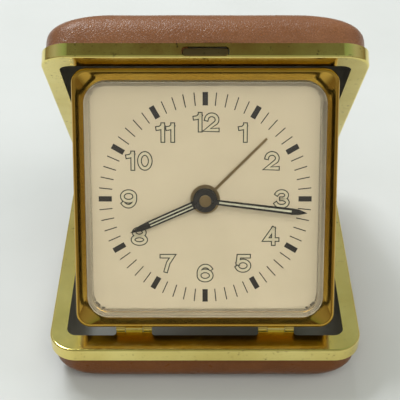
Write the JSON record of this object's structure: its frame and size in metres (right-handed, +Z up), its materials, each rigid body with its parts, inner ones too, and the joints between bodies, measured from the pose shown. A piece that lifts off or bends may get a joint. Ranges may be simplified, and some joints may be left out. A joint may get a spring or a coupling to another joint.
{
  "type": "folding travel alarm clock",
  "caption": "Folding travel alarm clock: square wind-up clock hinged in a leather-covered clamshell case with gilt rims; case, clock, hands, train, keys, alarm and latch all move.",
  "frame": {"origin": "centre of the overall box in X and Y, on the plane the clock stands on", "axes": "+X to the right of the dial, +Y from the dial to the case hinge, +Z up"},
  "size_m": [0.08, 0.0878, 0.0833],
  "materials": {
    "base_leather": "fine grained, semi-gloss",
    "lid_leather": "fine grained, semi-gloss",
    "tray_lining": "matt, dark grey",
    "gilt": "polished gilt brass",
    "bezel_gilt": "polished gilt brass, warm",
    "pin_steel": "ground steel",
    "latch_metal": "dark bronze, satin",
    "crystal_clear": "clear, polished",
    "dial_paint": "cream enamel, matt",
    "hand_black": "gloss black with pale luminous inserts",
    "alarm_hand_gold": "gilt, satin",
    "cap_brass": "polished brass",
    "spacer_plastic": "moulded, matt",
    "back_gilt": "brushed gilt brass",
    "plate_brass": "grained brass",
    "wheel_brass": "polished brass wheels",
    "spring_steel": "tempered spring steel",
    "arbor_steel": "turned steel",
    "key_brass": "polished brass",
    "stop_metal": "plated"
  },
  "bodies": {
    "base": {"base_cover": "base_leather", "base_tray": "tray_lining", "base_frame": "gilt", "base_hinge_leaf": "gilt", "clock_hinge_pins": "pin_steel", "case_hinge_pin": "pin_steel"},
    "lid": {"lid_cover": "lid_leather", "lid_tray": "tray_lining", "lid_frame": "gilt", "lid_hinge_leaf": "gilt", "latch_spring": "spring_steel"},
    "latch": {"latch_button": "latch_metal"},
    "clock": {"bezel": "bezel_gilt", "crystal": "crystal_clear", "dial": "dial_paint", "case_spacer": "spacer_plastic", "clock_hinge_leaves": "gilt", "back_cover": "back_gilt", "cover_screws": "pin_steel", "front_plate": "plate_brass", "back_plate": "plate_brass", "plate_pillars": "plate_brass", "pillar_screws": "pin_steel", "time_mainspring": "spring_steel", "alarm_mainspring": "spring_steel", "hairspring": "spring_steel", "click_screws": "pin_steel"},
    "minute": {"minute_hand": "hand_black", "cannon_pinion": "wheel_brass", "centre_cap": "cap_brass"},
    "hour": {"hour_hand": "hand_black", "hour_wheel": "wheel_brass"},
    "minute_wheel": {"minute_wheel": "wheel_brass"},
    "time_setting": {"time_set_arbor": "arbor_steel", "time_set_knob": "key_brass"},
    "alarm_indicator": {"alarm_wheel": "wheel_brass", "alarm_hand": "alarm_hand_gold"},
    "alarm_setting": {"alarm_set_arbor": "arbor_steel", "alarm_set_knob": "key_brass"},
    "great": {"time_great_wheel": "wheel_brass"},
    "centre": {"centre_wheel": "wheel_brass"},
    "third": {"third_wheel": "wheel_brass"},
    "fourth": {"fourth_wheel": "wheel_brass"},
    "escape": {"escape_wheel": "wheel_brass"},
    "lever": {"pallet_lever": "spring_steel"},
    "balance": {"balance_wheel": "wheel_brass"},
    "regulator": {"regulator": "spring_steel"},
    "time_winding": {"time_winding_arbor": "arbor_steel", "time_key_hub": "key_brass"},
    "time_wing": {"time_key_wing": "key_brass"},
    "time_click": {"time_click": "spring_steel"},
    "alarm_winding": {"alarm_winding_arbor": "arbor_steel", "alarm_key_hub": "key_brass"},
    "alarm_wing": {"alarm_key_wing": "key_brass"},
    "alarm_click": {"alarm_click": "spring_steel"},
    "alarm_great": {"alarm_great_wheel": "wheel_brass"},
    "alarm_escape": {"alarm_escape_wheel": "wheel_brass"},
    "hammer": {"alarm_hammer": "spring_steel"},
    "alarm_stop": {"alarm_stop": "stop_metal"}
  },
  "joints": [
    {"name": "lid_hinge", "type": "hinge", "parent": "base", "child": "lid", "pos_m": [0, 0.0377, 0.0135], "axis": [-1, 0, 0], "range_deg": [0, 126.5]},
    {"name": "latch_press", "type": "slide", "parent": "lid", "child": "latch", "axis": [0, 0.5948, -0.8039], "range_m": [0, 0.0012], "stiffness_N_per_m": 400, "springref_m": -0.0006, "deforming": ["latch_spring"]},
    {"name": "clock_fold", "type": "hinge", "parent": "base", "child": "clock", "pos_m": [0, -0.03624, 0.01369], "axis": [-1, 0, 0], "range_deg": [0, 61.8]},
    {"name": "minute_turn", "type": "hinge", "parent": "clock", "child": "minute", "pos_m": [0, -0.01634, 0.04192], "axis": [0, 0.8813, -0.4726], "continuous": true},
    {"name": "hour_turn", "type": "hinge", "parent": "clock", "child": "hour", "pos_m": [0, -0.01634, 0.04192], "axis": [0, 0.8813, -0.4726], "continuous": true},
    {"name": "minute_wheel_turn", "type": "hinge", "parent": "clock", "child": "minute_wheel", "pos_m": [-0.00552, -0.01415, 0.046], "axis": [0, 0.8813, -0.4726], "continuous": true},
    {"name": "time_setting_turn", "type": "hinge", "parent": "clock", "child": "time_setting", "pos_m": [-0.01034, -0.01143, 0.05106], "axis": [0, 0.8813, -0.4726], "continuous": true},
    {"name": "alarm_indicator_turn", "type": "hinge", "parent": "clock", "child": "alarm_indicator", "pos_m": [0, -0.01634, 0.04192], "axis": [0, 0.8813, -0.4726], "continuous": true},
    {"name": "alarm_setting_turn", "type": "hinge", "parent": "clock", "child": "alarm_setting", "pos_m": [-0.00094, -0.02142, 0.03244], "axis": [0, 0.8813, -0.4726], "continuous": true},
    {"name": "fourth_turn", "type": "hinge", "parent": "clock", "child": "fourth", "pos_m": [0.01322, -0.01356, 0.0471], "axis": [0, 0.8813, -0.4726], "continuous": true},
    {"name": "third_turn", "type": "hinge", "parent": "clock", "child": "third", "pos_m": [0.0051, -0.01216, 0.04971], "axis": [0, 0.8813, -0.4726], "continuous": true},
    {"name": "centre_turn", "type": "hinge", "parent": "clock", "child": "centre", "pos_m": [0, -0.01634, 0.04192], "axis": [0, 0.8813, -0.4726], "continuous": true},
    {"name": "great_turn", "type": "hinge", "parent": "clock", "child": "great", "pos_m": [-0.01205, -0.01808, 0.03868], "axis": [0, 0.8813, -0.4726], "continuous": true},
    {"name": "escape_turn", "type": "hinge", "parent": "clock", "child": "escape", "pos_m": [0.01322, -0.01002, 0.05369], "axis": [0, 0.8813, -0.4726], "continuous": true},
    {"name": "lever_swing", "type": "hinge", "parent": "clock", "child": "lever", "pos_m": [0.01001, -0.00821, 0.05707], "axis": [0, 0.8813, -0.4726], "range_deg": [-5, 5]},
    {"name": "balance_swing", "type": "hinge", "parent": "clock", "child": "balance", "pos_m": [0.00363, -0.00741, 0.05858], "axis": [0, 0.8813, -0.4726], "range_deg": [-135, 135], "stiffness_Nm_per_rad": 0.0000006, "deforming": ["hairspring"]},
    {"name": "regulator_turn", "type": "hinge", "parent": "clock", "child": "regulator", "pos_m": [0.00363, -0.00741, 0.05858], "axis": [0, 0.8813, -0.4726], "range_deg": [-18, 18]},
    {"name": "time_winding_turn", "type": "hinge", "parent": "clock", "child": "time_winding", "pos_m": [-0.01205, -0.01808, 0.03868], "axis": [0, 0.8813, -0.4726], "continuous": true, "deforming": ["time_mainspring"]},
    {"name": "time_wing_fold", "type": "hinge", "parent": "time_winding", "child": "time_wing", "pos_m": [-0.01205, -0.01319, 0.03605], "axis": [1, 0, 0], "range_deg": [-90, 0]},
    {"name": "time_click_lift", "type": "hinge", "parent": "clock", "child": "time_click", "pos_m": [-0.01696, -0.01724, 0.03432], "axis": [0, -0.8813, 0.4726], "range_deg": [0, 8]},
    {"name": "alarm_winding_turn", "type": "hinge", "parent": "clock", "child": "alarm_winding", "pos_m": [0.0125, -0.02153, 0.03223], "axis": [0, 0.8813, -0.4726], "continuous": true, "deforming": ["alarm_mainspring"]},
    {"name": "alarm_wing_fold", "type": "hinge", "parent": "alarm_winding", "child": "alarm_wing", "pos_m": [0.0125, -0.01664, 0.0296], "axis": [1, 0, 0], "range_deg": [-90, 0]},
    {"name": "alarm_click_lift", "type": "hinge", "parent": "clock", "child": "alarm_click", "pos_m": [0.0155, -0.02152, 0.02632], "axis": [0, -0.8813, 0.4726], "range_deg": [0, 8]},
    {"name": "alarm_great_turn", "type": "hinge", "parent": "clock", "child": "alarm_great", "pos_m": [0.0125, -0.02153, 0.03223], "axis": [0, 0.8813, -0.4726], "continuous": true},
    {"name": "alarm_escape_turn", "type": "hinge", "parent": "clock", "child": "alarm_escape", "pos_m": [0.00321, -0.02461, 0.0265], "axis": [0, 0.8813, -0.4726], "continuous": true},
    {"name": "hammer_swing", "type": "hinge", "parent": "clock", "child": "hammer", "pos_m": [-0.0023, -0.02415, 0.02735], "axis": [0, 0.8813, -0.4726], "range_deg": [-6, 6]},
    {"name": "alarm_stop_slide", "type": "slide", "parent": "clock", "child": "alarm_stop", "axis": [1, 0, 0], "range_m": [0, 0.0018]}
  ],
  "couplings": [
    {"joint": "hour_turn", "follows": "minute_turn", "ratio": 0.083333},
    {"joint": "minute_wheel_turn", "follows": "minute_turn", "ratio": -0.33333},
    {"joint": "time_setting_turn", "follows": "minute_turn", "ratio": 0.85714},
    {"joint": "alarm_setting_turn", "follows": "alarm_indicator_turn", "ratio": -3.5},
    {"joint": "third_turn", "follows": "fourth_turn", "ratio": -0.125},
    {"joint": "centre_turn", "follows": "fourth_turn", "ratio": 0.016667},
    {"joint": "great_turn", "follows": "fourth_turn", "ratio": -0.0027778},
    {"joint": "escape_turn", "follows": "fourth_turn", "ratio": -7.5},
    {"joint": "alarm_escape_turn", "follows": "alarm_great_turn", "ratio": -6}
  ]
}
